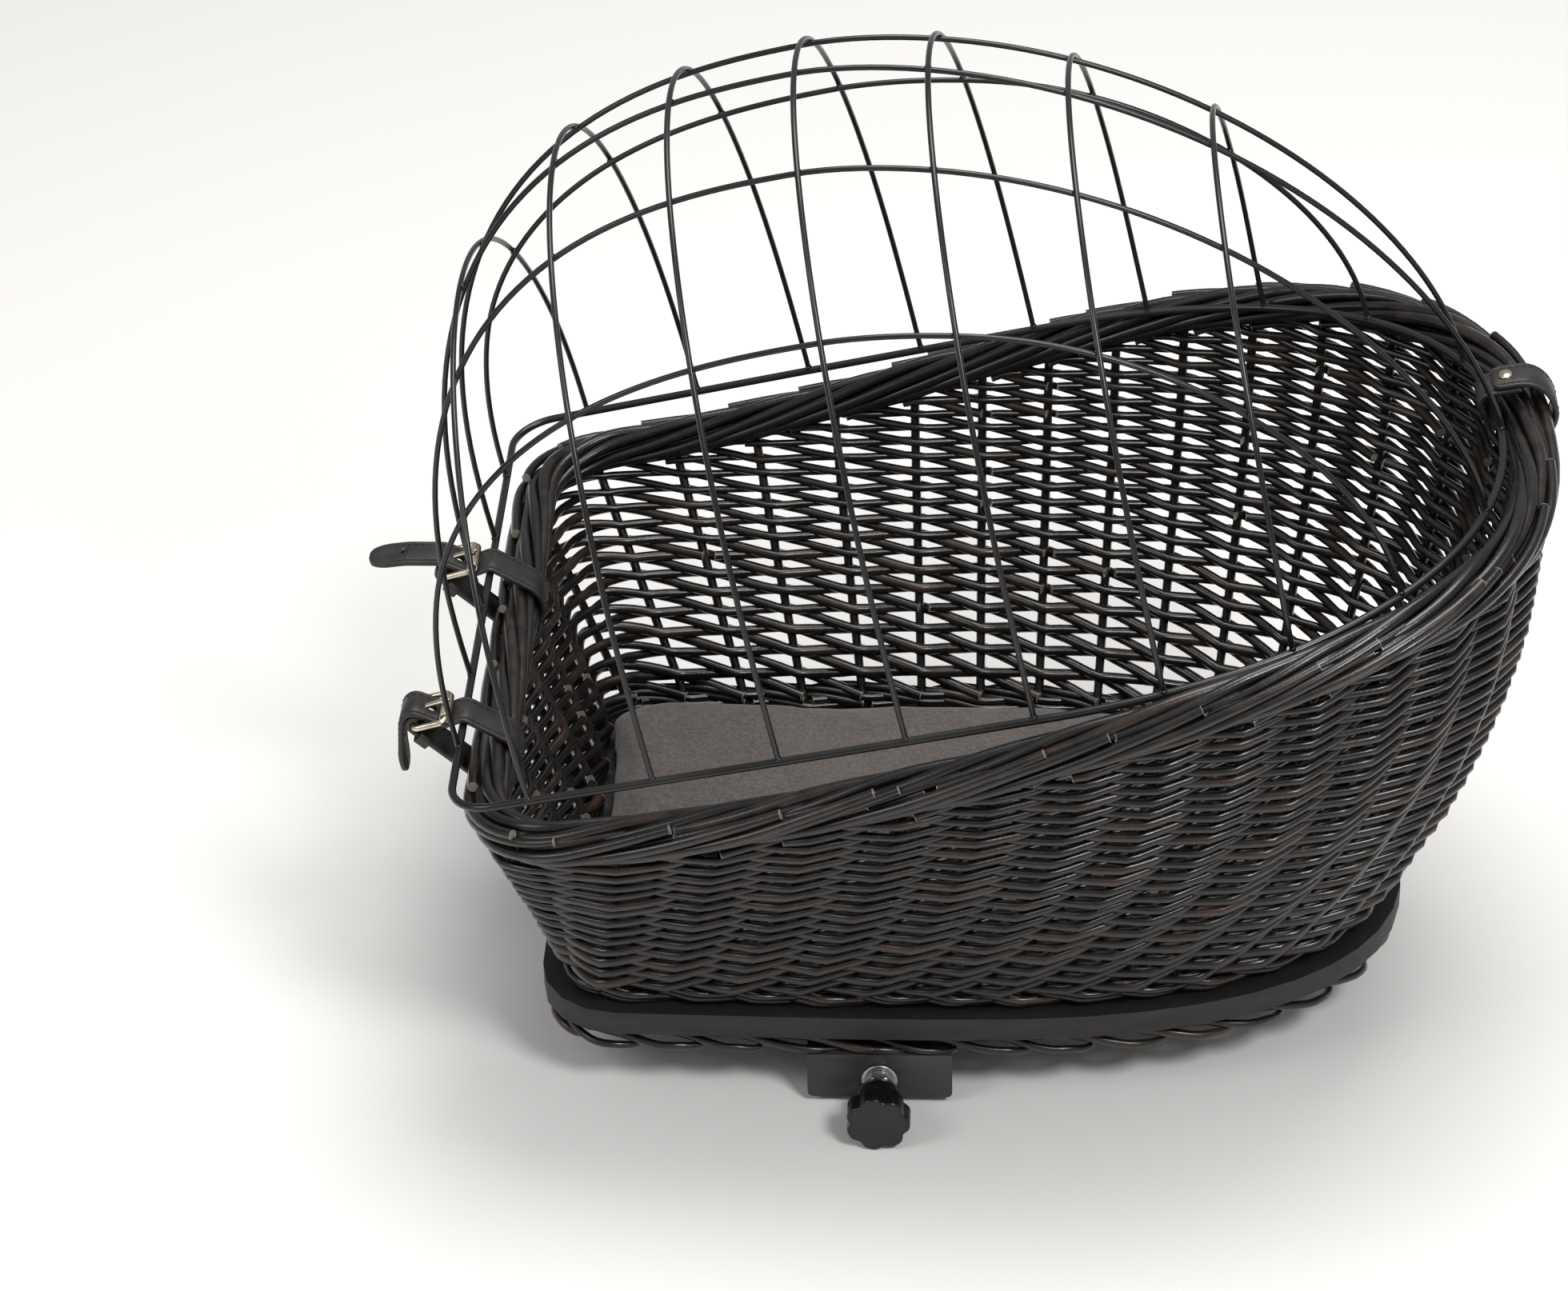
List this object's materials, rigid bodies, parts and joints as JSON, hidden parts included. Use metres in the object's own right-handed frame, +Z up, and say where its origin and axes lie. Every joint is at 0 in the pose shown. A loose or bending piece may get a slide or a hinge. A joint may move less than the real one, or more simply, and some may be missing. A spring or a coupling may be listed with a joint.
{
  "type": "dog bicycle basket",
  "caption": "Willow dog basket on a D-shaped plywood board, with a domed wire cage on a strap hinge, buckled front straps, a loose cushion and a rack clamp with star knobs.",
  "frame": {"origin": "middle of the clamp channel's underside, where it lies on the bicycle's rack", "axes": "+Z up, +X to the high rounded end at which the cage is hinged, -X to the low square end, +Y to the right when facing -X"},
  "size_m": [0.5916, 0.3996, 0.5072],
  "materials": {
    "willow": "satin",
    "board_paint": "matte",
    "suede": "matte",
    "cage_coating": "satin",
    "leather": "satin",
    "nickel": "polished",
    "channel_coating": "satin",
    "zinc": "satin",
    "knob_plastic": "gloss"
  },
  "bodies": {
    "root": {"base_board": "board_paint", "side_weave": "willow", "top_border": "willow", "foot_border": "willow", "front_strap_left": "leather", "front_keeper_left": "leather", "front_buckle_left": "nickel", "front_strap_right": "leather", "front_keeper_right": "leather", "front_buckle_right": "nickel", "rear_strap": "leather", "rear_rivet": "nickel", "rack_channel": "channel_coating", "packing_block": "board_paint", "board_bolt_1": "zinc", "board_washer_1": "zinc", "board_nut_1": "zinc", "board_bolt_2": "zinc", "board_washer_2": "zinc", "board_nut_2": "zinc", "board_bolt_3": "zinc", "board_washer_3": "zinc", "board_nut_3": "zinc", "board_bolt_4": "zinc", "board_washer_4": "zinc", "board_nut_4": "zinc", "clamp_washer_left": "zinc", "clamp_nut_left": "zinc", "clamp_washer_right": "zinc", "clamp_nut_right": "zinc"},
    "cage": {"cage_frame": "cage_coating", "cage_hoop_1": "cage_coating", "cage_hoop_2": "cage_coating", "cage_hoop_3": "cage_coating", "cage_hoop_4": "cage_coating", "cage_hoop_5": "cage_coating", "cage_hoop_6": "cage_coating", "cage_hoop_7": "cage_coating", "cage_wire_left_outer": "cage_coating", "cage_wire_left_inner": "cage_coating", "cage_wire_middle": "cage_coating", "cage_wire_right_inner": "cage_coating", "cage_wire_right_outer": "cage_coating"},
    "cushion": {"cushion": "suede"},
    "prong_left": {"front_prong_left": "nickel"},
    "prong_right": {"front_prong_right": "nickel"},
    "roller_left": {"front_roller_left": "nickel"},
    "roller_right": {"front_roller_right": "nickel"},
    "jaw_left": {"clamp_jaw_left": "channel_coating"},
    "jaw_right": {"clamp_jaw_right": "channel_coating"},
    "knob_left": {"clamp_knob_left": "knob_plastic", "clamp_stud_left": "zinc"},
    "knob_right": {"clamp_knob_right": "knob_plastic", "clamp_stud_right": "zinc"}
  },
  "joints": [
    {"name": "cage_hinge", "type": "hinge", "parent": "root", "child": "cage", "pos_m": [0.2965, 0.035, 0.2847], "axis": [0, 1, 0], "range_deg": [0, 100], "deforming": ["front_strap_left", "front_strap_right", "rear_strap"]},
    {"name": "cushion_lift", "type": "slide", "parent": "root", "child": "cushion", "axis": [0, 0, 1], "range_m": [0, 0.1]},
    {"name": "prong_left_hinge", "type": "hinge", "parent": "root", "child": "prong_left", "pos_m": [-0.22353, -0.095, 0.17598], "axis": [0, -1, 0], "range_deg": [0, 60], "deforming": ["front_strap_left"]},
    {"name": "roller_left_spin", "type": "hinge", "parent": "root", "child": "roller_left", "pos_m": [-0.20853, -0.095, 0.18038], "axis": [0, 1, 0], "continuous": true},
    {"name": "prong_right_hinge", "type": "hinge", "parent": "root", "child": "prong_right", "pos_m": [-0.22353, 0.038, 0.17598], "axis": [0, -1, 0], "range_deg": [0, 60], "deforming": ["front_strap_right"]},
    {"name": "roller_right_spin", "type": "hinge", "parent": "root", "child": "roller_right", "pos_m": [-0.20853, 0.038, 0.18038], "axis": [0, 1, 0], "continuous": true},
    {"name": "jaw_left_slide", "type": "slide", "parent": "root", "child": "jaw_left", "axis": [0, -1, 0], "range_m": [-0.0037, 0.0249]},
    {"name": "knob_left_turn", "type": "hinge", "parent": "jaw_left", "child": "knob_left", "pos_m": [0, -0.17, -0.012], "axis": [0, -1, 0], "range_deg": [-1080, 7200]},
    {"name": "jaw_right_slide", "type": "slide", "parent": "root", "child": "jaw_right", "axis": [0, 1, 0], "range_m": [-0.0037, 0.0249]},
    {"name": "knob_right_turn", "type": "hinge", "parent": "jaw_right", "child": "knob_right", "pos_m": [0, 0.17, -0.012], "axis": [0, 1, 0], "range_deg": [-1080, 7200]}
  ],
  "couplings": [
    {"joint": "knob_left_turn", "follows": "jaw_left_slide", "rad_per_m": 5026.5},
    {"joint": "knob_right_turn", "follows": "jaw_right_slide", "rad_per_m": 5026.5}
  ]
}
